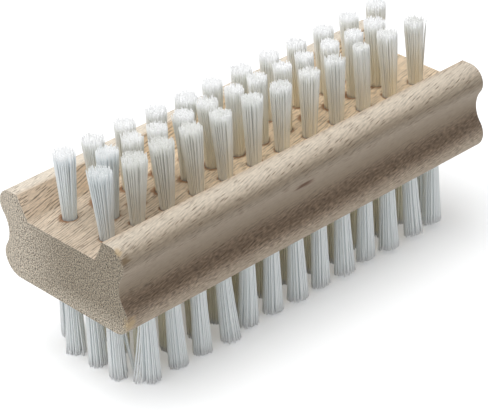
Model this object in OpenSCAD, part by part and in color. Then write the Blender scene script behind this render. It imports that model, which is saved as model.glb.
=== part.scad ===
// Double-sided nail brush: a grooved hardwood block with tufts of nylon bristle
// punched into the trough in its upper face and into its flat underside.
// X runs along the block, Y across it and Z up. The origin is the middle of the
// plane of the lower bristle tips, which is the plane that the brush stands on.

/* [Wooden block] */
// Length of the block
block_l = 95; // [79:0.5:115]
// Width of the block over its rounded long edges
block_w = 35.8; // [29.8:0.1:44]
// Height of the block, from its flat underside to its rims
block_h = 18.8; // [15.6:0.1:23]

/* [Finger grooves] */
// Radius of the rounded lower long edges
lower_edge_r = 4; // [3:0.1:4.8]
// Depth of the finger groove along each long side
groove_depth = 1.9; // [1.2:0.1:2.3]
// Radius of the finger groove
groove_r = 5.8; // [4.8:0.1:7]

/* [Trough] */
// Depth of the trough in the upper face
trough_depth = 4.8; // [3.5:0.1:5.8]
// Width of the flat floor of the trough
trough_floor_w = 19.6; // [16.3:0.1:23.6]
// How far each side wall of the trough leans outwards
trough_lean = 2.5; // [0:0.1:3]

/* [Tuft holes] */
// Diameter of every drilled tuft hole
hole_d = 3.1; // [2.5:0.1:3.8]
// Depth of every tuft hole, down to the start of its drill point
hole_depth = 5; // [4:0.1:5.8]
// Depth of the cone left by the drill point
drill_point = 0.6; // [0.3:0.1:0.8]
// Diameter of the flat at the bottom of that cone
drill_tip_d = 0.6; // [0.3:0.1:1]
// Clearance all round between a tuft and what it sits in
tuft_gap = 0.05; // [0.02:0.01:0.08]

/* [Upper tufts] */
// Length of the upper tufts above the trough floor
upper_tuft_h = 14.4; // [10:0.1:18]
// Tufts in each outer row of the trough
upper_side_count = 12; // [6:1:13]
// Tufts in the middle row of the trough
upper_middle_count = 12; // [6:1:12]
// Distance from the end of the block to the first tuft of an outer row
upper_side_margin = 6.6; // [4:0.1:9]
// Distance from the end of the block to the first tuft of the middle row
upper_middle_margin = 12.3; // [8:0.1:15]
// Distance from the foot of the trough wall to the axes of the outer row
upper_wall_margin = 4.4; // [3:0.1:5]

/* [Lower tufts] */
// Length of the lower tufts below the underside of the block
lower_tuft_h = 16.2; // [10:0.1:20]
// Tufts in each of the three inner rows; the two outer rows have one less
lower_count = 14; // [8:1:15]
// Distance from the end of the block to the first tuft of an inner row
lower_margin = 6; // [4:0.1:9]
// Flat wood left between the outer rows of holes and the rounded edges
lower_land = 0.35; // [0:0.05:0.8]

/* [Tuft tips] */
// Gap left between the spread tips of neighbouring tufts
tip_gap = 0.8; // [0.4:0.1:1.4]

/* [Wire anchors] */
// How far each end of an anchor bites into the wall of its hole
anchor_bite = 0.55; // [0.3:0.05:0.7]
// Thickness of the flat anchor wire
anchor_t = 0.4; // [0.3:0.05:0.6]
// Height of the anchor in its hole
anchor_h = 1.6; // [1.2:0.1:2]
// Thickness of the bristle fold trapped under the anchor
anchor_lift = 0.8; // [0.5:0.1:1.2]

/* [Hidden] */
$fn = 48;

// Overshoot of a cutter beyond the face that it cuts
over = 1;

// How far the groove arc crosses the two rounded edges, so that the arcs meet at
// a definite point and not in a grazing touch
groove_cross = 0.02;

// Levels of the three faces that matter
block_z = lower_tuft_h;
floor_z = block_z + block_h - trough_depth;
rim_z = block_z + block_h;

// The groove and the two rounded edges of each side are tangent arcs.
// Heights are from the underside of the block, and y is from its middle.
lower_edge_y = block_w / 2 - lower_edge_r;
groove_y = block_w / 2 - groove_depth + groove_r;
groove_z = lower_edge_r + sqrt(groove_depth * (2 * (lower_edge_r + groove_r) - groove_depth));
groove_to_rim = block_h - groove_z;
upper_edge_r = groove_to_rim + groove_depth - sqrt(2 * groove_depth * (groove_to_rim + groove_r));
upper_edge_y = block_w / 2 - upper_edge_r;
upper_edge_z = block_h - upper_edge_r;

// Sizes of a tuft and its anchor
root_d = hole_d - 2 * tuft_gap;
anchor_l = hole_d + 2 * anchor_bite;

// Places of the upper rows
upper_side_y = trough_floor_w / 2 - upper_wall_margin;
upper_side_pitch = (block_l - 2 * upper_side_margin) / (upper_side_count - 1);
upper_middle_pitch = (block_l - 2 * upper_middle_margin) / (upper_middle_count - 1);
upper_tip_d = min(upper_side_pitch, upper_middle_pitch, upper_side_y) - tip_gap;

// Places of the lower rows
lower_rows = 5;
lower_row_pitch = 2 * (lower_edge_y - lower_land - hole_d / 2) / (lower_rows - 1);
lower_pitch = (block_l - 2 * lower_margin) / (lower_count - 1);
lower_tip_d = min(lower_pitch, lower_row_pitch) - tip_gap;

// Positions along X of a row of tufts centred on the block
function row_x(count, pitch) = [for (i = [0 : count - 1]) (i - (count - 1) / 2) * pitch];

// A lower row counts from 1 at the front, and the first and last rows are one tuft shorter
function lower_row_y(row) = (row - (lower_rows + 1) / 2) * lower_row_pitch;
function lower_row_count(row) = (row == 1 || row == lower_rows) ? lower_count - 1 : lower_count;
function lower_row_x(row) = row_x(lower_row_count(row), lower_pitch);

// Each upper row is its name, its y and the positions of its tufts along X
UPPER_ROWS = [
    ["front", -upper_side_y, row_x(upper_side_count, upper_side_pitch)],
    ["middle", 0, row_x(upper_middle_count, upper_middle_pitch)],
    ["back", upper_side_y, row_x(upper_side_count, upper_side_pitch)],
];

// Node names: every upper tuft is its own node, and the rest go row by row
function two_digits(n) = n < 10 ? str("0", n) : str(n);
function upper_tuft_name(row, i) = str("upper_tuft_", row[0], "_", two_digits(i + 1));
function upper_anchor_name(row) = str("upper_anchors_", row[0]);
function lower_tuft_name(row) = str("lower_tufts_row_", row);
function lower_anchor_name(row) = str("lower_anchors_row_", row);

// Puts its children at a place on the trough floor, where they point up
module on_floor(x, y) {
    translate([x, y, floor_z]) children();
}

// Puts its children at a place on the underside, where they point down
module on_underside(x, y) {
    translate([x, y, block_z]) mirror([0, 0, 1]) children();
}

// Flat anchor wire across a hole, in a face at z = 0. It is grown by gap on its
// two faces and its top, and drawn to the given length.
module anchor_bar(length, gap = 0) {
    thickness = anchor_t + 2 * gap;
    translate([-length / 2, -thickness / 2, anchor_lift - hole_depth])
        cube([length, thickness, anchor_h + gap]);
}

// The drilled hole with its drill point and the two nicks that the anchor bites
module tuft_hole() {
    translate([0, 0, -hole_depth]) cylinder(h = hole_depth + over, d = hole_d);
    translate([0, 0, -hole_depth - drill_point]) cylinder(h = drill_point, d1 = drill_tip_d, d2 = hole_d);
    anchor_bar(anchor_l);
}

// A bundle of bristles: a folded root in the hole, and a free end that spreads
module tuft(height, tip_d) {
    difference() {
        union() {
            translate([0, 0, -hole_depth]) cylinder(h = hole_depth, d = root_d);
            cylinder(h = height, d1 = root_d, d2 = tip_d);
        }
        anchor_bar(hole_d, tuft_gap);
    }
}

// Right half of the block's section with straight sides between the arcs
function half_section() = let(
    low = [lower_edge_y, lower_edge_r],
    high = [upper_edge_y, upper_edge_z],
    groove = [groove_y, groove_z],
    low_tangent = low + (groove - low) * lower_edge_r / (lower_edge_r + groove_r),
    high_tangent = high + (groove - high) * upper_edge_r / (upper_edge_r + groove_r)
) [[lower_edge_y, 0], low, low_tangent, high_tangent, high, [upper_edge_y, block_h]];

function mirrored(points) = [for (i = [len(points) - 1 : -1 : 0]) [-points[i][0], points[i][1]]];

// Section of the block in Y and Z, before the grooves and the trough
module solid_section() {
    polygon(concat(half_section(), mirrored(half_section())));
    for (side = [-1, 1]) {
        translate([side * lower_edge_y, lower_edge_r]) circle(r = lower_edge_r);
        translate([side * upper_edge_y, upper_edge_z]) circle(r = upper_edge_r);
    }
}

module groove_sections() {
    for (side = [-1, 1]) translate([side * groove_y, groove_z]) circle(r = groove_r + groove_cross);
}

// Section of the trough, with its leaning walls carried on above the rims
module trough_section() {
    foot = trough_floor_w / 2;
    bottom = block_h - trough_depth;
    top = block_h + over;
    top_half = foot + trough_lean * (trough_depth + over) / trough_depth;
    polygon([[-foot, bottom], [foot, bottom], [top_half, top], [-top_half, top]]);
}

module wood_block() {
    color("burlywood")
    difference() {
        translate([-block_l / 2, 0, block_z])
            rotate([90, 0, 90])
            linear_extrude(height = block_l)
            difference() {
                solid_section();
                groove_sections();
                trough_section();
            }
        for (row = UPPER_ROWS) for (x = row[2]) on_floor(x, row[1]) tuft_hole();
        for (row = [1 : lower_rows]) for (x = lower_row_x(row))
            on_underside(x, lower_row_y(row)) tuft_hole();
    }
}

module upper_tuft(x, y) {
    color("whitesmoke") on_floor(x, y) tuft(upper_tuft_h, upper_tip_d);
}

module upper_anchors(row) {
    color("silver") for (x = row[2]) on_floor(x, row[1]) anchor_bar(anchor_l);
}

module lower_tufts(row) {
    color("gainsboro") for (x = lower_row_x(row))
        on_underside(x, lower_row_y(row)) tuft(lower_tuft_h, lower_tip_d);
}

module lower_anchors(row) {
    color("silver") for (x = lower_row_x(row))
        on_underside(x, lower_row_y(row)) anchor_bar(anchor_l);
}

wood_block();
for (row = UPPER_ROWS) for (i = [0 : len(row[2]) - 1])
    upper_tuft(row[2][i], row[1]);
for (row = UPPER_ROWS)
    upper_anchors(row);
for (row = [1 : lower_rows])
    lower_tufts(row);
for (row = [1 : lower_rows])
    lower_anchors(row);
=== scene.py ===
"""The looks of a double-sided wooden nail brush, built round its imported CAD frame.

The block and the wire anchors are the CAD nodes with a finish of their own. Each nylon tuft is replaced by
its real filaments: every filament is folded under the tuft's anchor and comes out of the hole twice.
Lengths are written in millimetres and scaled to metres where they meet Blender.
"""

import math

import bpy
import numpy as np
from mathutils import Matrix, Vector


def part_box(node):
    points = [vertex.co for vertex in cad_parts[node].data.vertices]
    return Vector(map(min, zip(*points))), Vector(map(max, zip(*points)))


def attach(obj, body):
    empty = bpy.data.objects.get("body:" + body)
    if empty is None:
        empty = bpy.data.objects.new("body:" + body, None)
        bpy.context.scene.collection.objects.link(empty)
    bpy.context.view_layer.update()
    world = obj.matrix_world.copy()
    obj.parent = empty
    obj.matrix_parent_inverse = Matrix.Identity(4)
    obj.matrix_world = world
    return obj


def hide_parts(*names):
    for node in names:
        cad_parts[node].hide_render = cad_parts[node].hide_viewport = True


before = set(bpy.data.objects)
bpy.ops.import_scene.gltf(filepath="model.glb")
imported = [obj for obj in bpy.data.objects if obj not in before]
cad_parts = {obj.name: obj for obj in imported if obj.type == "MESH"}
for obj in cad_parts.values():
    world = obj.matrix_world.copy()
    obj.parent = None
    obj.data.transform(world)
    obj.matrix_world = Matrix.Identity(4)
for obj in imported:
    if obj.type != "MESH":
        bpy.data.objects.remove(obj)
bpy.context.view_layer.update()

MM = 0.001
SEED = 20

# ---- Sizes of the block: its underside is the frame's, and the others aren't stated there ----
UNDERSIDE_Z = (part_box("wood_block")[0] / MM).z
TROUGH_FLOOR_Z = 30.2
HOLE_R = 1.55
LOWER_PITCH = 6.384615  # from one lower tuft of a row to the next

# ---- Camera, fitted to the photograph: it looks at its target from this angle and distance ----
CAMERA_TARGET = (0.0, 0.0, 26.2)
CAMERA_AZIMUTH = -41.29
CAMERA_ELEVATION = 30.71
CAMERA_ROLL = -3.19
CAMERA_DISTANCE = 497.7
CAMERA_ASIDE = (-1.24, -8.48)  # how far it is moved right and up in its own plane
CAMERA_LENS = 188.0
SENSOR_WIDTH = 36.0
CLIP_START = 0.01  # in metres

# ---- Light ----
KEY_PLACE = (-0.13, 0.12, 0.70)  # in metres, and so are its target and size
KEY_TARGET = (0.0, 0.0, 0.025)
KEY_SIZE = 0.9
KEY_POWER = 5.2
WORLD_LIGHT = 0.40
GROUND_HALF = 2.0  # half the side of the ground, in metres
GROUND_COLOUR = (0.935, 0.950, 0.965)
FLOOR_LIFT = (0.25, 0.90, 0.285, 0.66)  # eased over these distances, in metres, between these strengths
CLOSE_BOX = (45.0, 15.0)  # the shadow right under the brush: half its length and half its width
CLOSE_SHADOW = (12.0, 0.06)  # how far it reaches past that box and how strong it is
MAX_BOUNCES = 32  # light goes through many filaments before it leaves a tuft
DIFFUSE_BOUNCES = 24

# ---- Wood ----
TOP_GRAIN = math.radians(13.0)  # slant of the strokes to the block's length, seen from above
SIDE_GRAIN = math.radians(9.0)  # and seen from the side
EDGE_ROUND = 0.55  # softened corners of the sanded block
WELD_REACH = 0.001  # joins the corners of the CAD mesh that lie in one place
WOOD_PALE = (0.670, 0.560, 0.440)
WOOD_TAN = (0.560, 0.455, 0.345)
WOOD_WALL = (0.760, 0.590, 0.430)
WOOD_GOLD = (0.905, 0.725, 0.515)
WOOD_CREAM = (0.860, 0.790, 0.680)
WOOD_FLECK = (0.130, 0.080, 0.045)
END_DARK = (0.325, 0.275, 0.205)
END_PALE = (0.600, 0.525, 0.425)
# Tones down the front of the block: height above the ground and colour. A dark vein runs along the groove,
# and the tones are also painted shade: the front is drawn darker than the top, darkest in the groove, and
# paler where it rounds over to face up.
FRONT_TONES = [
    (16.2, (0.500, 0.418, 0.325)),
    (18.6, (0.500, 0.408, 0.310)),
    (20.3, (0.430, 0.340, 0.255)),
    (21.8, (0.255, 0.184, 0.126)),
    (22.9, (0.195, 0.135, 0.089)),
    (24.0, (0.240, 0.170, 0.115)),
    (25.8, (0.345, 0.270, 0.193)),
    (28.0, (0.395, 0.320, 0.242)),
    (30.4, (0.425, 0.345, 0.265)),
    (31.4, (0.375, 0.305, 0.230)),
    (32.6, (0.350, 0.278, 0.200)),
    (33.4, (0.450, 0.368, 0.275)),
    (34.1, (0.600, 0.505, 0.395)),
    (35.0, (0.700, 0.612, 0.500)),
]
SWAY = (30.0, 6.0, 1.4)  # these tones rise and fall along x and z, and by how much
# Zones of the block: where each begins and where it is full, and its strength there if that isn't 0 and 1
END_FACING = (0.55, 0.85)  # how squarely a face looks along X
EDGE_FACING = ((0.10, 0.40), (0.95, 0.70, 0.0, 0.4))  # the sanded edge round an end, drawn paler as a painted highlight
END_LOBE = ((-3.0, 17.0), (21.5, 16.5, 0.0, 0.6))  # the paler part of an end, partly painted light: the end is drawn darker towards the front and higher up: y, z
END_SPECKLE = (11.0, 17.0, 2.7, 1.1)  # y
TROUGH_WALL = ((9.6, 10.4), (12.6, 12.0))  # distance from the middle: foot and top of the wall
TROUGH_INSIDE = (12.4, 12.0)
TROUGH_GOLD = (-38.0, -5.0, 0.0, 0.8)  # x
BACK_RIM = ((12.2, 13.5), (29.5, 32.5))  # y, z: the back rim, painted paler where light falls on it from behind
FRONT_SIDE = (-12.2, -13.8)  # y
FRONT_NEAR_SHADE = (-46.0, 30.0, 0.92, 0.97)  # x: painted shade, the front is drawn darker towards the near end
BACK_SIDE = ((14.5, 16.0), (33.0, 30.5, 0.0, 0.7))  # y, z
HOLLOW = ((30.5, 29.0), (25.0, 26.5))  # z, from above and from below
VEIN = ((25.5, 23.5), (18.0, 20.5))
HOLES_Z = (27.0, 29.0)
WALL_TINT = 0.7
RIM_PAINTED_LIGHT = 0.65
WANDER = (0.08, 1.2)  # the grain drifts slowly: how fine this noise is and how far it shifts the strokes
# Resin stains and small knots: place, reach in x, y and z, strength and colour
STAIN = (0.200, 0.135, 0.070)
GOLD = (0.540, 0.385, 0.200)
KNOT = (0.150, 0.080, 0.050)
# colour of the scorch and the painted shade round the upper holes
BURN_AND_SHADE = (0.280, 0.140, 0.065)
MARKS = [
    ((-46.8, -17.8, 33.0), (1.5, 0.9, 0.8), 0.80, STAIN),
    ((-47.4, -16.6, 34.7), (1.1, 1.0, 1.0), 0.60, GOLD),
    ((-46.8, -17.8, 19.4), (1.5, 1.6, 1.6), 0.60, GOLD),
    ((-1.4, -17.0, 28.9), (2.5, 4.0, 0.95), 1.00, KNOT),
    ((-27.4, 6.5, 30.2), (1.4, 0.36, 3.0), 1.00, KNOT),
]
MARK_FRAY = 1.2
MARK_EDGE = (1.25, 0.35)  # where a mark begins and where it is full, in shares of its reach
BANDS = (45.0, 1.8, 1.5)  # size of the broad bands in x, y and z
BAND_EDGES = (0.36, 0.64)
HATCH = 0.55  # spacing of the dark fibres
# Noise along and across the grain: fine speckle, the bend of the fibres and the breaks in them
SPECKLE = (1.1, 0.19)
BEND = (7.0, 1.0)
BREAKS = (4.0, 0.50)
END_DOTS = (4.0, 0.80)  # how the same noise is squeezed on the ends, in z and y
FIBRES = (0.55, 1.10)  # from where on a wave of the grain is a fibre, and where it is darkest
FIBRE_STRENGTH = (0.23, 0.33)  # everywhere, and added in the trough
BEND_STRENGTH = 0.9
BREAK_STRENGTH = 2.2
SPECKLE_STRENGTH = 0.6
SPECKLE_ADDED = {"vein": 1.0, "hollow": -0.35}
DARKS_ADDED = {"end": 0.4, "hollow": -0.6}  # to the strength of fibres and pores, 1
# Dark pores: cell length along the grain, cell width, reach of a pore in its cell, share left out, strength
PORES = (5.6, 0.40, 0.17, 0.30, 0.90)
WOOD_RELIEF = 0.06  # depth of the relief, and the shares of it that pores and fibres have
PORE_RELIEF = 0.6
FIBRE_RELIEF = 0.5
RING_FRAY = (0.9, 1.6)  # how fine and how strong the noise is that frays the scorched and shaded rings
RING_INSIDE = 0.1  # they are full this far inside the holes' walls
# The drill scorched the wood round each upper hole, and painted shade darkens it where the tufts' feet meet
# the wood: reach, strength and shift along X, by row
BURN_AND_SHADE_RINGS = {"front": (0.45, 0.85, 0.0), "middle": (0.95, 0.90, -0.35), "back": (0.80, 0.90, -0.35)}

# ---- Wire ----
WIRE_DARK = (0.55, 0.56, 0.57)
WIRE_PALE = (0.72, 0.72, 0.71)
WIRE_NOISE = (300.0, 6000.0, 6000.0)  # fineness of the drawn lines, per metre
WIRE_RELIEF = 0.01

# ---- Nylon filaments ----
FILAMENT_SIDES = 6
ROOT_R = HOLE_R - 0.04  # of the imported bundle, with a little play in its hole
PACKING = 1.05  # from one filament to the next at the root, in diameters
SCATTER = 0.015  # how unevenly they are packed
TIP_PLAY = 0.06  # the longest filaments end this far inside the CAD tuft
FOLD_DEPTH = (0.16, 0.42)  # below the anchor, and how much more at the wall of the hole
# A filament bends away by a power of the share of its free length: a high one bends it only near its tip
BOW = (2.5, 4.5)
STRAY_BOW = 1.5
SPLAYED_BOW = 1.2
OPENING_BOW = 1.1  # how a tuft opens
LEANING_BOW = 1.3  # how it leans
STRAY = (4.0, 1.5)  # how much further a stray stands away and how much shorter it may be
MOST_SHORT = 1.4  # the most that a filament is shorter than its tuft
SPLAYED_REACH = (0.65, 1.15)  # share of the splay that each splayed filament gets
TUFT_SIZE = (0.95, 1.08)  # how much the spread differs from tuft to tuft
POINT_START = 0.8  # a filament's end is pointed over this part of its free length
POINT_LENGTH = 0.2
STRIP_SHAPE = 6  # on the map a filament's strip is this much longer than wide
STRIP_MARGIN = 0.1
FREE_RINGS = 7  # rings along the free length of a filament
FOLD_RINGS = 5  # rings round the fold under the anchor
# d is a filament's diameter, lean how far a whole tuft leans, jitter and ragged how unevenly its filaments
# stand and end, strays the share that strays, and point how far their ends are pointed. swell is how much
# thicker a filament is drawn at its tip, so that the tuft looks as full as it does with finer filaments.
UPPER_LOOK = {
    "d": 0.23, "lean": 0.25, "jitter": 0.05, "ragged": 0.36, "strays": 0.07, "swell": 0.66, "point": 0.45,
}
LOWER_LOOK = {
    "d": 0.31, "lean": 0.25, "jitter": 0.08, "ragged": 0.15, "strays": 0.03, "swell": 0.20, "point": 0.0,
}
# Colours at the root and the tip of a cool tuft and of one tinted by painted warm light from the wood, and
# how much the painted grey shade shows
UPPER_NYLON = {
    "cool_root": (0.835, 0.900, 0.930), "warm_root": (0.945, 0.888, 0.720),
    "cool_tip": (0.890, 0.930, 0.955), "warm_tip": (0.912, 0.912, 0.872), "streaky": 0.90,
}
LOWER_NYLON = {
    "cool_root": (0.950, 0.984, 0.992), "warm_root": (0.999, 0.956, 0.780),
    "cool_tip": (0.960, 0.988, 0.992), "warm_tip": (0.990, 0.960, 0.830), "streaky": 0.16,
}
CUT_END = (0.985, 0.990, 0.995)
# Colours of the painted shade on the filaments
COOL_GREY = (0.715, 0.765, 0.780)
WARM_GREY = (0.755, 0.755, 0.705)
ROW_SHADE = {"front": 0.90, "middle": 0.50, "back": 0.10}  # painted shade by row: the front row is drawn darkest and the back row brightest
ROW_SHADE_LOST = 0.5  # painted shade eased off by the last tuft of a row
# Streaks of one tone in a tuft: how many waves, how fine, how strong, and how much single filaments differ
STREAKS = (3, 2.6, 0.13, 0.06)
WARMTH = (0.7, 1.0)  # how much painted warm light from the wood tints the upper tufts
CLEAR_WARMTH = 0.15  # and the first of each row, which stands clear of the wood and is painted cooler
# How wide the tips of each upper row spread, against the CAD: its first tuft and its last
SPREAD = {"front": (1.12, 0.74), "middle": (0.94, 0.78), "back": (1.0, 0.84)}
SPREAD_BOW = 1.6  # how fast it changes after the first tuft
TIP_FRAY = 0.2  # added to the radius of every upper tuft's tip
# Tufts that are wider or slimmer than their row's line, and by how much
UNEVEN = {"front_10": 0.90, "front_11": 1.20, "front_12": 1.12, "middle_12": 1.12, "back_12": 1.08}
LOWER_TIP_R = 2.1  # in the rows and at the ends that show
INNER_TIP_R = 1.8
# Wear on the outer side of the two outer lower rows, at the first tuft and at the last one
WORN = (0.15, 1.7)
WORN_SIDE = {1: -1.0, 5: 1.0}
# Filaments that stand away from their tuft: row, tuft, how many, and how far at the tip
SPLAYED = {(1, 0): (4, -1.25, 1.1), (2, 0): (4, 1.3, -1.15), ("front", 12): (4, 0.36, -0.32)}


# ============================== shader helpers ==============================


class Shader:
    """Adds nodes to one material and returns their outputs."""

    def __init__(self, name):
        self.material = bpy.data.materials.new(name)
        self.material.use_nodes = True
        self.tree = self.material.node_tree
        self.tree.nodes.clear()
        self.output = self.tree.nodes.new("ShaderNodeOutputMaterial")

    def add(self, kind, settings=None, **inputs):
        node = self.tree.nodes.new(kind)
        for key, value in (settings or {}).items():
            setattr(node, key, value)
        for key, value in inputs.items():
            self.put(node, key, value)
        return node

    def put(self, node, key, value):
        name = int(key[1:]) if key[0] == "i" and key[1:].isdigit() else key.replace("_", " ")
        socket = node.inputs[name]
        if isinstance(value, bpy.types.NodeSocket):
            self.tree.links.new(value, socket)
        elif isinstance(value, (tuple, list, Vector)) and socket.type == "RGBA":
            socket.default_value = (*value, 1.0)
        else:
            socket.default_value = value

    def math(self, operation, a, b=0.0, c=0.0):
        return self.add("ShaderNodeMath", {"operation": operation}, i0=a, i1=b, i2=c).outputs[0]

    def dot(self, vector, axis):
        node = self.add("ShaderNodeVectorMath", {"operation": "DOT_PRODUCT"}, i0=vector, i1=axis)
        return node.outputs["Value"]

    def length(self, x, y, z):
        node = self.add("ShaderNodeVectorMath", {"operation": "LENGTH"}, i0=self.vector(x, y, z))
        return node.outputs["Value"]

    def vector(self, x, y, z):
        return self.add("ShaderNodeCombineXYZ", i0=x, i1=y, i2=z).outputs[0]

    def ramp(self, value, low, high, out_low=0.0, out_high=1.0):
        """A value between low and high, eased to between out_low and out_high."""
        node = self.add(
            "ShaderNodeMapRange",
            {"interpolation_type": "SMOOTHSTEP"},
            i0=value, i1=low, i2=high, i3=out_low, i4=out_high,
        )
        return node.outputs[0]

    def between(self, value, first, second):
        """1 inside two eased limits and 0 outside them."""
        return self.math("MULTIPLY", self.ramp(value, *first), self.ramp(value, *second))

    def noise(self, place, scale, detail=2.0, rough=0.5, flat=False):
        settings = {"noise_dimensions": "2D" if flat else "3D"}
        node = self.add(
            "ShaderNodeTexNoise", settings, Vector=place, Scale=scale, Detail=detail, Roughness=rough
        )
        return node.outputs["Fac"]

    def switch(self, share, a, b):
        return self.add("ShaderNodeMix", {"data_type": "FLOAT"}, i0=share, i2=a, i3=b).outputs[0]

    def scale(self, vector, factor):
        return self.add("ShaderNodeVectorMath", {"operation": "SCALE"}, i0=vector, Scale=factor).outputs[0]

    def mix(self, share, a, b):
        return self.add("ShaderNodeMix", {"data_type": "RGBA"}, i0=share, i6=a, i7=b).outputs[2]

    def tones(self, value, stops):
        """A colour for each value, between the colours at the stops."""
        first, last = stops[0][0], stops[-1][0]
        share = self.math("DIVIDE", self.math("SUBTRACT", value, first), last - first)
        node = self.add("ShaderNodeValToRGB", Fac=share)
        points = node.color_ramp.elements
        while len(points) < len(stops):
            points.new(0.5)
        for point, (at, colour) in zip(points, stops):
            point.position = (at - first) / (last - first)
            point.color = (*colour, 1.0)
        return node.outputs["Color"]

    def finish(self, shader):
        self.tree.links.new(shader, self.output.inputs["Surface"])
        return self.material


# ================================ materials =================================


def tuft_count(row):
    return sum(name.startswith(f"upper_tuft_{row}_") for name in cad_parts)


def tuft_place(node):
    low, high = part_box(node)
    return (low + high) / 2 / MM


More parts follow.
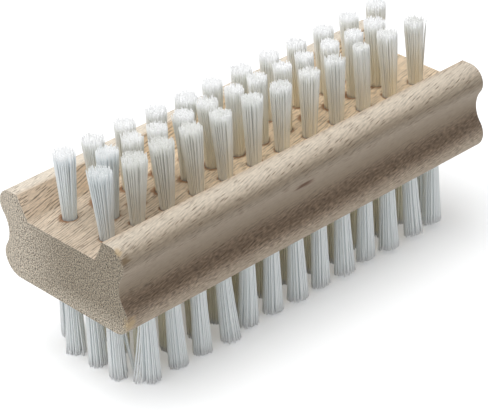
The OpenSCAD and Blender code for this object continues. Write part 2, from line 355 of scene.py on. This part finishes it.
def beech():
    """Pale steamed beech: dark pores along a slanting grain, and fine speckle where the end cuts them."""
    s = Shader("beech_wood")
    coordinates = s.add("ShaderNodeTexCoord").outputs["Object"]
    place = s.scale(coordinates, 1 / MM)
    parts = s.add("ShaderNodeSeparateXYZ", i0=place).outputs
    x, y, z = parts["X"], parts["Y"], parts["Z"]
    off_middle = s.math("ABSOLUTE", y)
    normal = s.add("ShaderNodeNewGeometry").outputs["Normal"]
    facing = s.math("ABSOLUTE", s.dot(normal, Vector((1.0, 0.0, 0.0))))
    end = s.ramp(facing, *END_FACING)
    long_side = s.math("SUBTRACT", 1.0, end)
    upright = s.math("ABSOLUTE", s.dot(normal, Vector((0.0, 0.0, 1.0))))
    fineness, drift = WANDER
    wander = s.math("SUBTRACT", s.noise(place, fineness), 0.5)

    def slanted(rise, angle):
        """Along and across strokes that slant at an angle to the block's length."""
        along = s.math("MULTIPLY_ADD", rise, math.sin(angle), c=s.math("MULTIPLY", x, math.cos(angle)))
        across = s.math("MULTIPLY_ADD", rise, math.cos(angle), c=s.math("MULTIPLY", x, -math.sin(angle)))
        return along, s.math("MULTIPLY_ADD", wander, drift, c=across)

    # The strokes lie in the face they are seen on: the top, a side, or an end, where they are dots.
    on_top = slanted(y, TOP_GRAIN)
    on_side = slanted(z, SIDE_GRAIN)
    on_end = (s.math("MULTIPLY", z, END_DOTS[0]), s.math("MULTIPLY", y, END_DOTS[1]))
    top = s.math("GREATER_THAN", upright, 0.70)
    at_end = s.math("GREATER_THAN", end, 0.5)
    along, across = (
        s.switch(at_end, s.switch(top, side_way, top_way), end_way)
        for side_way, top_way, end_way in zip(on_side, on_top, on_end)
    )

    def stretched(length, width):
        return s.vector(s.math("MULTIPLY", along, 1 / length), s.math("DIVIDE", across, width), 0.0)

    # Broad bands run the length of the block; the end has tones of its own, partly painted light and shade.
    lengthwise = s.vector(*(s.math("DIVIDE", value, size) for value, size in zip((x, y, z), BANDS)))
    bands = s.noise(lengthwise, 1.0, 3.0, 0.6)
    colour = s.mix(s.ramp(bands, *BAND_EDGES), WOOD_PALE, WOOD_TAN)
    wall = s.between(off_middle, *TROUGH_WALL)
    colour = s.mix(s.math("MULTIPLY", wall, WALL_TINT), colour, WOOD_WALL)
    # painted light: the back rim is drawn cream
    rim = s.math("MULTIPLY", s.ramp(y, *BACK_RIM[0]), s.ramp(z, *BACK_RIM[1]))
    colour = s.mix(s.math("MULTIPLY", rim, RIM_PAINTED_LIGHT), colour, WOOD_CREAM)
    trough = s.math("MULTIPLY", s.ramp(off_middle, *TROUGH_INSIDE), long_side)
    colour = s.mix(s.math("MULTIPLY", trough, s.ramp(x, *TROUGH_GOLD)), colour, WOOD_GOLD)
    sway_x, sway_z, rise = SWAY
    sway = s.noise(s.vector(s.math("DIVIDE", x, sway_x), 0.0, s.math("DIVIDE", z, sway_z)), 1.0, 1.0)
    height = s.math("MULTIPLY_ADD", s.math("SUBTRACT", sway, 0.5), rise, c=z)
    # the dark vein and painted shade: the front's colour by height
    tones = s.tones(height, FRONT_TONES)
    front = s.math("MULTIPLY", s.ramp(y, *FRONT_SIDE), long_side)
    back = s.math("MULTIPLY", s.ramp(y, *BACK_SIDE[0]), s.ramp(z, *BACK_SIDE[1]))
    # painted shade: the front grows darker towards the near end
    tones = s.scale(tones, s.ramp(x, *FRONT_NEAR_SHADE))
    colour = s.mix(s.math("MAXIMUM", front, s.math("MULTIPLY", back, long_side)), colour, tones)
    # the ends' own tone with painted light and shade: paler towards the back and the bottom
    lobe = s.math("MAXIMUM", s.ramp(y, *END_LOBE[0]), s.ramp(z, *END_LOBE[1]))
    colour = s.mix(end, colour, s.mix(lobe, END_DARK, END_PALE))
    # painted highlight: the rounded edges round the ends are drawn cream
    colour = s.mix(s.between(facing, *EDGE_FACING), colour, WOOD_CREAM)

    # Fine speckle, dark fibres and pores. The hollow of the groove is smooth, its vein and the ends are
    # rough, and the fibres show most in the trough.
    hollow = s.math("MULTIPLY", s.between(z, *HOLLOW), front)
    vein = s.math("MULTIPLY", s.between(z, *VEIN), front)
    speckle = s.math("SUBTRACT", s.noise(stretched(*SPECKLE), 1.0, 1.0, flat=True), 0.5)
    coarse_end = s.math("MULTIPLY", end, s.ramp(y, *END_SPECKLE))
    rough = s.math("ADD", coarse_end, SPECKLE_STRENGTH)
    rough = s.math("MULTIPLY_ADD", vein, SPECKLE_ADDED["vein"], c=rough)
    rough = s.math("MULTIPLY_ADD", hollow, SPECKLE_ADDED["hollow"], c=rough)
    bent = s.noise(stretched(*BEND), 1.0, 1.0, flat=True)
    turn = s.math("MULTIPLY_ADD", bent, BEND_STRENGTH, c=s.math("DIVIDE", across, HATCH))
    wave = s.math("SINE", s.math("MULTIPLY", turn, 2 * math.pi))
    breaks = s.noise(stretched(*BREAKS), 1.0, 1.0, flat=True)
    hatch = s.math("MULTIPLY_ADD", s.math("SUBTRACT", breaks, 0.5), BREAK_STRENGTH, c=wave)
    everywhere, in_trough = FIBRE_STRENGTH
    depth = s.math("MULTIPLY_ADD", trough, in_trough, c=everywhere)
    dark = s.math("MULTIPLY", s.ramp(hatch, *FIBRES), depth)
    strong = s.math("MULTIPLY_ADD", hollow, DARKS_ADDED["hollow"], c=1.0)
    strong = s.math("MULTIPLY_ADD", end, DARKS_ADDED["end"], c=strong)
    fibres = s.math("MULTIPLY", dark, s.math("MULTIPLY", strong, -1.0))
    shade = s.math("MULTIPLY_ADD", speckle, rough, c=fibres)
    colour = s.scale(colour, s.math("ADD", shade, 1.0))
    length, width, reach, left_out, strength = PORES
    cells = s.add(
        "ShaderNodeTexVoronoi",
        {"feature": "F1", "voronoi_dimensions": "2D"},
        Vector=stretched(length, width), Scale=1.0, Randomness=0.9,
    )
    pores = s.ramp(cells.outputs["Distance"], reach, reach * 0.5)
    red = s.add("ShaderNodeSeparateColor", Color=cells.outputs["Color"]).outputs["Red"]
    pores = s.math("MULTIPLY", pores, s.ramp(red, left_out, left_out + 0.2))
    pores = s.math("MULTIPLY", pores, strong)
    colour = s.mix(s.math("MULTIPLY", pores, strength), colour, WOOD_FLECK)

    # Stains and knots.
    for spot, (reach_x, reach_y, reach_z), strength, tint in MARKS:
        off_x, off_y, off_z = (s.math("SUBTRACT", value, at) for value, at in zip((x, y, z), spot))
        span = s.length(
            s.math("DIVIDE", off_x, reach_x),
            s.math("DIVIDE", s.math("MULTIPLY_ADD", off_x, -math.tan(TOP_GRAIN), c=off_y), reach_y),
            s.math("DIVIDE", off_z, reach_z),
        )
        span = s.math("MULTIPLY_ADD", s.math("SUBTRACT", breaks, 0.5), MARK_FRAY, c=span)
        colour = s.mix(s.ramp(span, *MARK_EDGE, 0.0, strength), colour, tint)

    # Scorched rings round the upper holes, with painted shade at the tufts' feet.
    near_holes = s.ramp(z, *HOLES_Z)
    frayed = s.math("SUBTRACT", s.noise(place, RING_FRAY[0]), 0.5)
    for row, (reach, strength, shift) in BURN_AND_SHADE_RINGS.items():
        first = tuft_place(f"upper_tuft_{row}_01")
        step = tuft_place(f"upper_tuft_{row}_02").x - first.x
        index = s.math("ROUND", s.math("DIVIDE", s.math("SUBTRACT", x, first.x), step))
        index = s.math("MINIMUM", s.math("MAXIMUM", index, 0.0), tuft_count(row) - 1.0)
        hole_x = s.math("MULTIPLY_ADD", index, step, c=first.x + shift)
        gap = s.length(s.math("SUBTRACT", x, hole_x), s.math("SUBTRACT", y, first.y), 0.0)
        gap = s.math("MULTIPLY_ADD", frayed, RING_FRAY[1], c=gap)
        ring = s.ramp(gap, HOLE_R + reach, HOLE_R - RING_INSIDE, 0.0, strength)
        ring = s.math("MULTIPLY", ring, near_holes)
        colour = s.mix(ring, colour, BURN_AND_SHADE)

    bump = s.math("ADD", s.math("MULTIPLY", pores, -PORE_RELIEF), s.math("MULTIPLY", dark, -FIBRE_RELIEF))
    relief = s.add("ShaderNodeBump", Strength=0.5, Distance=WOOD_RELIEF * MM, Height=bump)
    shader = s.add(
        "ShaderNodeBsdfPrincipled",
        Base_Color=colour, Normal=relief.outputs[0], Roughness=0.72, IOR=1.45,
    )
    return s.finish(shader.outputs[0])


def nylon(name, cool_root, warm_root, cool_tip, warm_tip, streaky):
    """Milky nylon: each filament has a tone of its own, which also carries painted shade, and painted warm
    light from the wood tints the inner tufts and the roots.
    """
    s = Shader(name)
    along, tone, warmth = (
        s.add("ShaderNodeAttribute", {"attribute_name": key}).outputs["Fac"]
        for key in ("along", "tone", "warmth")
    )
    # painted warm light from the wood, by the warmth of each tuft
    root = s.mix(warmth, cool_root, warm_root)
    tip = s.mix(warmth, cool_tip, warm_tip)
    colour = s.mix(s.ramp(along, 0.2, 0.95), root, tip)
    colour = s.mix(s.ramp(along, 0.90, 0.98), colour, CUT_END)
    # painted shade: streaks and rows drawn grey, less so at the cut ends
    painted_shade = s.math("MULTIPLY", s.ramp(tone, 0.0, 1.0, 0.0, streaky), s.ramp(along, 0.88, 0.98, 1.0, 0.75))
    colour = s.mix(painted_shade, colour, s.mix(warmth, COOL_GREY, WARM_GREY))
    shader = s.add(
        "ShaderNodeBsdfPrincipled",
        Base_Color=colour, Roughness=0.35, IOR=1.53, Sheen_Weight=0.4, Sheen_Roughness=0.5,
    )
    return s.finish(shader.outputs[0])


def steel_wire():
    """Flat galvanised wire, drawn lengthwise."""
    s = Shader("anchor_wire")
    coordinates = s.add("ShaderNodeTexCoord").outputs["Object"]
    place = s.add("ShaderNodeMapping", Vector=coordinates)
    place.inputs["Scale"].default_value = WIRE_NOISE
    drawn = s.noise(place.outputs[0], 1.0, 3.0)
    colour = s.mix(drawn, WIRE_DARK, WIRE_PALE)
    relief = s.add("ShaderNodeBump", Strength=0.3, Distance=WIRE_RELIEF * MM, Height=drawn)
    shader = s.add(
        "ShaderNodeBsdfPrincipled",
        Base_Color=colour, Metallic=1.0, Roughness=s.ramp(drawn, 0.2, 0.8, 0.28, 0.45),
        Normal=relief.outputs[0],
    )
    return s.finish(shader.outputs[0])


def pale_floor():
    """White ground: the camera sees it a little brighter than it is lit, so only the shadow shows, and
    close round the brush a painted shadow darkens it.
    """
    s = Shader("pale_floor")
    rays = s.add("ShaderNodeLightPath").outputs
    seen = s.math("MAXIMUM", rays["Is Camera Ray"], rays["Is Glossy Ray"])
    seen = s.math("MAXIMUM", seen, rays["Is Transmission Ray"])
    place = s.add("ShaderNodeTexCoord").outputs["Object"]
    away = s.add("ShaderNodeVectorMath", {"operation": "LENGTH"}, i0=place).outputs["Value"]
    parts = s.add("ShaderNodeSeparateXYZ", i0=s.scale(place, 1 / MM)).outputs
    beyond_x, beyond_y = (
        s.math("MAXIMUM", s.math("SUBTRACT", s.math("ABSOLUTE", parts[axis]), half), 0.0)
        for axis, half in zip("XY", CLOSE_BOX)
    )
    reach, strength = CLOSE_SHADOW
    # painted shadow: less lift close round the brush
    close = s.ramp(s.length(beyond_x, beyond_y, 0.0), 0.0, reach, strength, 0.0)
    lift = s.math("MULTIPLY", seen, s.math("SUBTRACT", s.ramp(away, *FLOOR_LIFT), close))
    diffuse = s.add("ShaderNodeBsdfDiffuse", Color=GROUND_COLOUR)
    glow = s.add("ShaderNodeEmission", Color=(1.0, 1.0, 1.0), Strength=lift)
    both = s.add("ShaderNodeAddShader", i0=diffuse.outputs[0], i1=glow.outputs[0])
    return s.finish(both.outputs[0])


# ================================ filaments =================================


def half_hole_seats(radius, gap, pitch):
    """Close-packed places on one side of an anchor: x along it, y away from it."""
    seats = []
    step_y = pitch * math.sqrt(3) / 2
    for row in range(int(radius / step_y) + 1):
        y = gap + row * step_y
        if y > radius:
            break
        half = math.sqrt(radius * radius - y * y)
        count = int(2 * half / pitch) + 1
        for i in range(count):
            seats.append(((i - (count - 1) / 2) * pitch, y))
    return np.array(seats)


def streaks(rng, seats, grey):
    """A tone for each seat: broad streaks, since filaments that lie together catch the light together."""
    waves, fineness, strength, scatter = STREAKS
    tone = np.zeros(len(seats))
    for _ in range(waves):
        wave = rng.normal(0.0, fineness, 2)
        tone += np.cos(seats @ wave + rng.uniform(0, 2 * math.pi))
    return np.clip(grey + strength * tone + rng.normal(0, scatter, len(seats)), 0.0, 1.0)


def folded_strands(rng, place, face_z, tip_z, anchor, tip_r, look, grey=0.5, splayed=None, worn=0.0):
    """Middle lines of one tuft's strands: tip, down to the fold and up to the other tip.

    worn is how much shorter the tuft is on one side: the side of +Y, or of -Y if it is negative.
    Returns the points, the share of the free length at each point and each strand's tone.
    """
    way = 1.0 if tip_z > face_z else -1.0
    filament_r = look["d"] / 2
    length = abs(tip_z - face_z) - TIP_PLAY
    anchor_half_t, anchor_near, anchor_far = anchor
    seat_r = ROOT_R - filament_r
    gap = anchor_half_t + filament_r
    seats = half_hole_seats(seat_r, gap, look["d"] * PACKING)
    n = len(seats)
    lean = rng.normal(0.0, look["lean"], 2)
    tip_r *= rng.uniform(*TUFT_SIZE)
    share = np.linspace(0.0, 1.0, FREE_RINGS)
    stray_away, stray_short = STRAY
    legs = []
    for side in (1.0, -1.0):
        x = seats[:, 0] + rng.normal(0, SCATTER, n)
        y = seats[:, 1] * side
        edge = np.sqrt(seat_r**2 - seats[:, 0] ** 2)
        outward = (seats[:, 1] - gap) / np.maximum(edge - gap, 0.01)
        mouth_y = side * (filament_r + outward * (edge - filament_r)) + rng.normal(0, SCATTER, n)
        stray = rng.random(n) < look["strays"]
        offset = rng.normal(0, look["jitter"], (n, 2)) * np.where(stray, stray_away, 1.0)[:, None]
        short = np.abs(rng.normal(0, look["ragged"], n)) * np.where(stray, stray_short, 1.0)
        short = np.clip(short, 0, MOST_SHORT)
        short += (abs(worn) + worn * mouth_y / ROOT_R) / 2
        bow = rng.uniform(*BOW, n)
        bow[stray] = STRAY_BOW
        if splayed:
            count, away_x, away_y = splayed
            order = np.argsort(-(x * away_x + mouth_y * away_y))[: count // 2]
            splay = rng.uniform(*SPLAYED_REACH, len(order))
            offset[order] += np.array([away_x, away_y]) * splay[:, None]
            bow[order] = SPLAYED_BOW
        open_up = (1 + (tip_r / ROOT_R - 1) * share**OPENING_BOW)[None, :]
        reach = share[None, :] ** bow[:, None]
        free = np.stack(
            [
                x[:, None] * open_up + offset[:, :1] * reach + lean[0] * share**LEANING_BOW,
                mouth_y[:, None] * open_up + offset[:, 1:] * reach + lean[1] * share**LEANING_BOW,
                way * (length - short)[:, None] * share,
            ],
            axis=-1,
        )
        held = np.zeros((n, 2, 3))
        for i, depth in enumerate((anchor_near, anchor_far)):
            held[:, i, 0] = x
            held[:, i, 1] = y
            held[:, i, 2] = -way * depth
        legs.append((free, held))
    angles = np.linspace(0, math.pi, FOLD_RINGS + 2)[1:-1]
    fold = np.zeros((n, FOLD_RINGS, 3))
    depth = FOLD_DEPTH[0] + FOLD_DEPTH[1] * seats[:, 1] / ROOT_R
    for i, angle in enumerate(angles):
        fold[:, i, 0] = seats[:, 0]
        fold[:, i, 1] = seats[:, 1] * math.cos(angle)
        fold[:, i, 2] = -way * (anchor_far + depth * math.sin(angle))
    (free_a, held_a), (free_b, held_b) = legs
    points = np.concatenate([free_a[:, ::-1], held_a, fold, held_b[:, ::-1], free_b], axis=1)
    points += np.array([place[0], place[1], face_z])
    along = np.concatenate([share[::-1], np.zeros(4 + FOLD_RINGS), share])
    return points, along, streaks(rng, seats, grey)


def strand_mesh(name, strands, look, warmths):
    """One mesh of round strands, from a list of (points, along, tone) with the points in millimetres."""
    points = np.concatenate([s[0] for s in strands]) * MM
    tone = np.concatenate([s[2] for s in strands])
    warmth = np.concatenate([np.full(len(s[0]), w) for s, w in zip(strands, warmths)])
    along = strands[0][1]
    count, rings, _ = points.shape
    sides = FILAMENT_SIDES
    tangent = np.gradient(points, axis=1)
    tangent /= np.linalg.norm(tangent, axis=2, keepdims=True)
    first = np.array([1.0, 0.0, 0.0]) - tangent[..., :1] * tangent
    first /= np.linalg.norm(first, axis=2, keepdims=True)
    second = np.cross(tangent, first)
    turn = np.arange(sides) * 2 * math.pi / sides
    offset = (
        first[:, :, None, :] * np.cos(turn)[None, None, :, None]
        + second[:, :, None, :] * np.sin(turn)[None, None, :, None]
    )
    end_taper = 1 - look["point"] * np.clip((along - POINT_START) / POINT_LENGTH, 0, 1)
    filament_r = look["d"] / 2 * MM * (1 + look["swell"] * along) * end_taper
    vertices = points[:, :, None, :] + offset * filament_r[None, :, None, None]

    s, r, k = np.meshgrid(np.arange(count), np.arange(rings - 1), np.arange(sides), indexing="ij")
    base = (s * rings + r) * sides
    nxt = (k + 1) % sides
    quads = np.stack([base + k, base + nxt, base + sides + nxt, base + sides + k], -1).reshape(-1, 4)
    start = np.arange(count)[:, None] * rings * sides
    caps_a = start + np.arange(sides)[::-1]
    caps_b = start + (rings - 1) * sides + np.arange(sides)
    loops = np.concatenate([quads.ravel(), caps_a.ravel(), caps_b.ravel()])
    sizes = np.concatenate([np.full(len(quads), 4), np.full(2 * count, sides)])
    starts = np.concatenate([[0], np.cumsum(sizes)[:-1]])

    mesh = bpy.data.meshes.new(name)
    mesh.vertices.add(vertices.size // 3)
    mesh.vertices.foreach_set("co", vertices.astype(np.float32).ravel())
    mesh.loops.add(len(loops))
    mesh.loops.foreach_set("vertex_index", loops.astype(np.int32))
    mesh.polygons.add(len(sizes))
    mesh.polygons.foreach_set("loop_start", starts.astype(np.int32))
    mesh.polygons.foreach_set("loop_total", sizes.astype(np.int32))
    smooth = np.concatenate([np.ones(len(quads), bool), np.zeros(2 * count, bool)])
    mesh.polygons.foreach_set("use_smooth", smooth)
    mesh.update(calc_edges=True)
    mesh.validate()

    for key, values in (
        ("along", np.repeat(np.tile(along, count), sides)),
        ("tone", np.repeat(tone, rings * sides)),
        ("warmth", np.repeat(warmth, rings * sides)),
    ):
        mesh.attributes.new(key, "FLOAT", "POINT").data.foreach_set("value", values.astype(np.float32))
    strip_map(mesh, count, rings, sides, s, r, k)
    return mesh


def strip_map(mesh, count, rings, sides, s, r, k):
    """A map on which each strand has a strip of its own."""
    columns = math.ceil(math.sqrt(count * STRIP_SHAPE))
    lines = math.ceil(count / columns)
    inside = 1 - 2 * STRIP_MARGIN

    def at(strand, ring, side):
        u = (strand % columns + STRIP_MARGIN + inside * side / sides) / columns
        v = (strand // columns + STRIP_MARGIN + inside * ring / (rings - 1)) / lines
        return np.stack([u, v], -1)

    corners = [at(s, r, k), at(s, r, k + 1), at(s, r + 1, k + 1), at(s, r + 1, k)]
    quads = np.stack(corners, -2).reshape(-1, 2)
    strand = np.repeat(np.arange(count), sides)
    side = np.tile(np.arange(sides), count)
    cap_a = at(strand, 0 * strand, side[::-1])
    cap_b = at(strand, 0 * strand + rings - 1, side)
    layer = mesh.uv_layers.new(name="OFBake")
    values = np.concatenate([quads, cap_a, cap_b]).astype(np.float32)
    layer.data.foreach_set("uv", values.ravel())


def add_object(name, mesh, material):
    piece = bpy.data.objects.new(name, mesh)
    bpy.context.scene.collection.objects.link(piece)
    mesh.materials.append(material)
    return piece


def anchor_of(node, face_z):
    """Half the thickness of the anchors in a node and the depths of their near and far edges."""
    low, high = (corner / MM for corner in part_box(node))
    depths = sorted((abs(low.z - face_z), abs(high.z - face_z)))
    return (high.y - low.y) / 2, depths[0], depths[1]


def upper_tufts(material):
    for row_number, row in enumerate(("front", "middle", "back")):
        count = tuft_count(row)
        anchor = anchor_of(f"upper_anchors_{row}", TROUGH_FLOOR_Z)
        spread_first, spread_last = SPREAD[row]
        for i in range(1, count + 1):
            node = f"upper_tuft_{row}_{i:02d}"
            rng = np.random.default_rng([SEED, row_number, i])
            low, high = (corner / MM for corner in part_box(node))
            left = 1 - (i - 1) / (count - 1)  # share of the row beyond this tuft
            spread = spread_last + (spread_first - spread_last) * left**SPREAD_BOW
            spread *= UNEVEN.get(f"{row}_{i:02d}", 1.0)
            tip_r = (high.x - low.x) / 2 * spread + TIP_FRAY
            strands = folded_strands(
                rng, tuft_place(node), TROUGH_FLOOR_Z, high.z, anchor, tip_r, UPPER_LOOK,
                # painted shade by row, easing off along it
                grey=ROW_SHADE[row] - ROW_SHADE_LOST * (1 - left), splayed=SPLAYED.get((row, i)),
            )
            name = f"filaments_{row}_{i:02d}"
            # painted warm light from the wood; the first tuft, clear of it, is painted cool
            warmth = CLEAR_WARMTH if i == 1 else rng.uniform(*WARMTH)
            piece = add_object(name, strand_mesh(name, [strands], UPPER_LOOK, [warmth]), material)
            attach(piece, "root")
            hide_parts(node)


def lower_tufts(material):
    rows = sorted(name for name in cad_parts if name.startswith("lower_tufts_row_"))
    for row, node in enumerate(rows, 1):
        low, high = (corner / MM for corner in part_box(node))
        cad_tip_d = high.y - low.y
        count = round((high.x - low.x - cad_tip_d) / LOWER_PITCH) + 1
        anchor = anchor_of(node.replace("tufts", "anchors"), UNDERSIDE_Z)
        tufts = []
        warmths = []
        for i in range(count):
            rng = np.random.default_rng([SEED, 10 + row, i])
            outer = row in (1, len(rows)) or i in (0, count - 1)
            place = (low.x + cad_tip_d / 2 + i * LOWER_PITCH, (low.y + high.y) / 2)
            tip_r = LOWER_TIP_R if outer else INNER_TIP_R
            worn = WORN_SIDE.get(row, 0.0) * (WORN[0] + (WORN[1] - WORN[0]) * i / (count - 1))
            tufts.append(
                folded_strands(
                    rng, place, UNDERSIDE_Z, low.z, anchor, tip_r, LOWER_LOOK,
                    splayed=SPLAYED.get((row, i)), worn=worn,
                )
            )
            # the inner lower tufts are painted warm, as lit by light from the wood
            warmths.append(0.0 if outer else 1.0)
        name = node.replace("lower_tufts", "lower_filaments")
        piece = add_object(name, strand_mesh(name, tufts, LOWER_LOOK, warmths), material)
        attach(piece, "root")
        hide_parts(node)


# ================================== build ===================================

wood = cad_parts["wood_block"]
wood.data.materials.clear()
wood.data.materials.append(beech())
weld = wood.modifiers.new("weld", "WELD")
weld.merge_threshold = WELD_REACH * MM
rounding = wood.modifiers.new("rounding", "BEVEL")
rounding.width = EDGE_ROUND * MM
rounding.segments = 3
rounding.limit_method = "ANGLE"
rounding.angle_limit = math.radians(35)
rounding.harden_normals = False

wire = steel_wire()
for name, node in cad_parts.items():
    if "anchors" in name:
        node.data.materials.clear()
        node.data.materials.append(wire)

upper_tufts(nylon("upper_nylon", **UPPER_NYLON))
lower_tufts(nylon("lower_nylon", **LOWER_NYLON))

# ---- Stage ----
floor_mesh = bpy.data.meshes.new("ground")
corners = [(x * GROUND_HALF, y * GROUND_HALF, 0) for x, y in ((-1, -1), (1, -1), (1, 1), (-1, 1))]
floor_mesh.from_pydata(corners, [], [(0, 1, 2, 3)])
ground = add_object("ground", floor_mesh, pale_floor())

# The camera sees the world white, and the brush is lit by WORLD_LIGHT.
world = bpy.data.worlds.new("studio")
world.use_nodes = True
tree = world.node_tree
background = tree.nodes["Background"]
background.inputs["Color"].default_value = (1.0, 1.0, 1.0, 1.0)
rays = tree.nodes.new("ShaderNodeLightPath")
level = tree.nodes.new("ShaderNodeMath")
level.operation = "MULTIPLY_ADD"
level.inputs[1].default_value = 1.0 - WORLD_LIGHT
level.inputs[2].default_value = WORLD_LIGHT
tree.links.new(rays.outputs["Is Camera Ray"], level.inputs[0])
tree.links.new(level.outputs[0], background.inputs["Strength"])
bpy.context.scene.world = world


def key_light():
    light = bpy.data.lights.new("key", "AREA")
    light.shape = "SQUARE"
    light.size = KEY_SIZE
    light.energy = KEY_POWER
    lamp = bpy.data.objects.new("key", light)
    lamp.location = KEY_PLACE
    aim = Vector(KEY_TARGET) - Vector(KEY_PLACE)
    lamp.rotation_euler = aim.to_track_quat("-Z", "Y").to_euler()
    bpy.context.scene.collection.objects.link(lamp)


def view_camera():
    azimuth = math.radians(CAMERA_AZIMUTH)
    elevation = math.radians(CAMERA_ELEVATION)
    roll = math.radians(CAMERA_ROLL)
    flat = math.cos(elevation)
    back = Vector((math.sin(azimuth) * flat, -math.cos(azimuth) * flat, math.sin(elevation)))
    level = Vector((0, 0, 1)).cross(back).normalized()
    upright = back.cross(level)
    right = level * math.cos(roll) + upright * math.sin(roll)
    up = upright * math.cos(roll) - level * math.sin(roll)
    place = Vector(CAMERA_TARGET) + right * CAMERA_ASIDE[0] + up * CAMERA_ASIDE[1] + back * CAMERA_DISTANCE
    data = bpy.data.cameras.new("camera")
    data.lens = CAMERA_LENS
    data.sensor_width = SENSOR_WIDTH
    data.sensor_fit = "HORIZONTAL"
    data.clip_start = CLIP_START
    camera = bpy.data.objects.new("camera", data)
    camera.matrix_world = Matrix.Translation(place * MM) @ Matrix((right, up, back)).transposed().to_4x4()
    bpy.context.scene.collection.objects.link(camera)
    bpy.context.scene.camera = camera


key_light()
view_camera()
bpy.context.scene.view_settings.view_transform = "Standard"
bpy.context.scene.cycles.max_bounces = MAX_BOUNCES
bpy.context.scene.cycles.diffuse_bounces = DIFFUSE_BOUNCES

bpy.context.view_layer.update()
